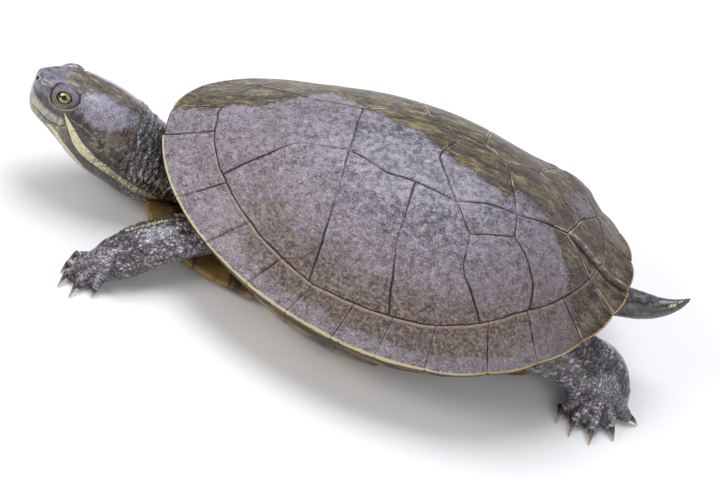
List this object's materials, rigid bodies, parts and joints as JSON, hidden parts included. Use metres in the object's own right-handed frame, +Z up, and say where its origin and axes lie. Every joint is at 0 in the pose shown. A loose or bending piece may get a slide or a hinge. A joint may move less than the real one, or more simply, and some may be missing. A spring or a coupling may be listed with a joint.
{
  "type": "pond slider turtle museum model",
  "caption": "Life-size still model of a dark pond slider turtle standing with head raised, for display; shell of separate horny plates over one skin.",
  "frame": {"origin": "middle of the bounding box in plan, on the floor under the feet", "axes": "+Z up, the head towards -X, the animal's left side towards -Y"},
  "size_m": [0.351, 0.2026, 0.0906],
  "materials": {
    "shell": "wet horn with a dull sheen",
    "rim": "wet horn, yellow at the outer edge",
    "under_shell": "satin horn",
    "skin": "granular scaled skin",
    "eye": "wet gloss"
  },
  "bodies": {
    "root": {"head": "skin", "neck": "skin", "trunk": "skin", "tail": "skin", "leg_front_left": "skin", "leg_front_right": "skin", "leg_hind_left": "skin", "leg_hind_right": "skin", "eye_left": "eye", "eye_right": "eye", "nuchal": "shell", "vertebral_1": "shell", "vertebral_2": "shell", "vertebral_3": "shell", "vertebral_4": "shell", "vertebral_5": "shell", "extra_left": "shell", "costal_left_1": "shell", "costal_left_2": "shell", "costal_left_3": "shell", "costal_left_4": "shell", "costal_left_5": "shell", "costal_right_1": "shell", "costal_right_2": "shell", "costal_right_3": "shell", "costal_right_4": "shell", "marginal_left_1": "rim", "marginal_left_2": "rim", "marginal_left_3": "rim", "marginal_left_4": "rim", "marginal_left_5": "rim", "marginal_left_6": "rim", "marginal_left_7": "rim", "marginal_left_8": "rim", "marginal_left_9": "rim", "marginal_left_10": "rim", "marginal_left_11": "rim", "marginal_left_12": "rim", "marginal_right_1": "rim", "marginal_right_2": "rim", "marginal_right_3": "rim", "marginal_right_4": "rim", "marginal_right_5": "rim", "marginal_right_6": "rim", "marginal_right_7": "rim", "marginal_right_8": "rim", "marginal_right_9": "rim", "marginal_right_10": "rim", "marginal_right_11": "rim", "marginal_right_12": "rim", "plastron_front": "under_shell", "plastron_middle": "under_shell", "plastron_rear": "under_shell", "bridge_left": "under_shell", "bridge_right": "under_shell"}
  },
  "joints": []
}
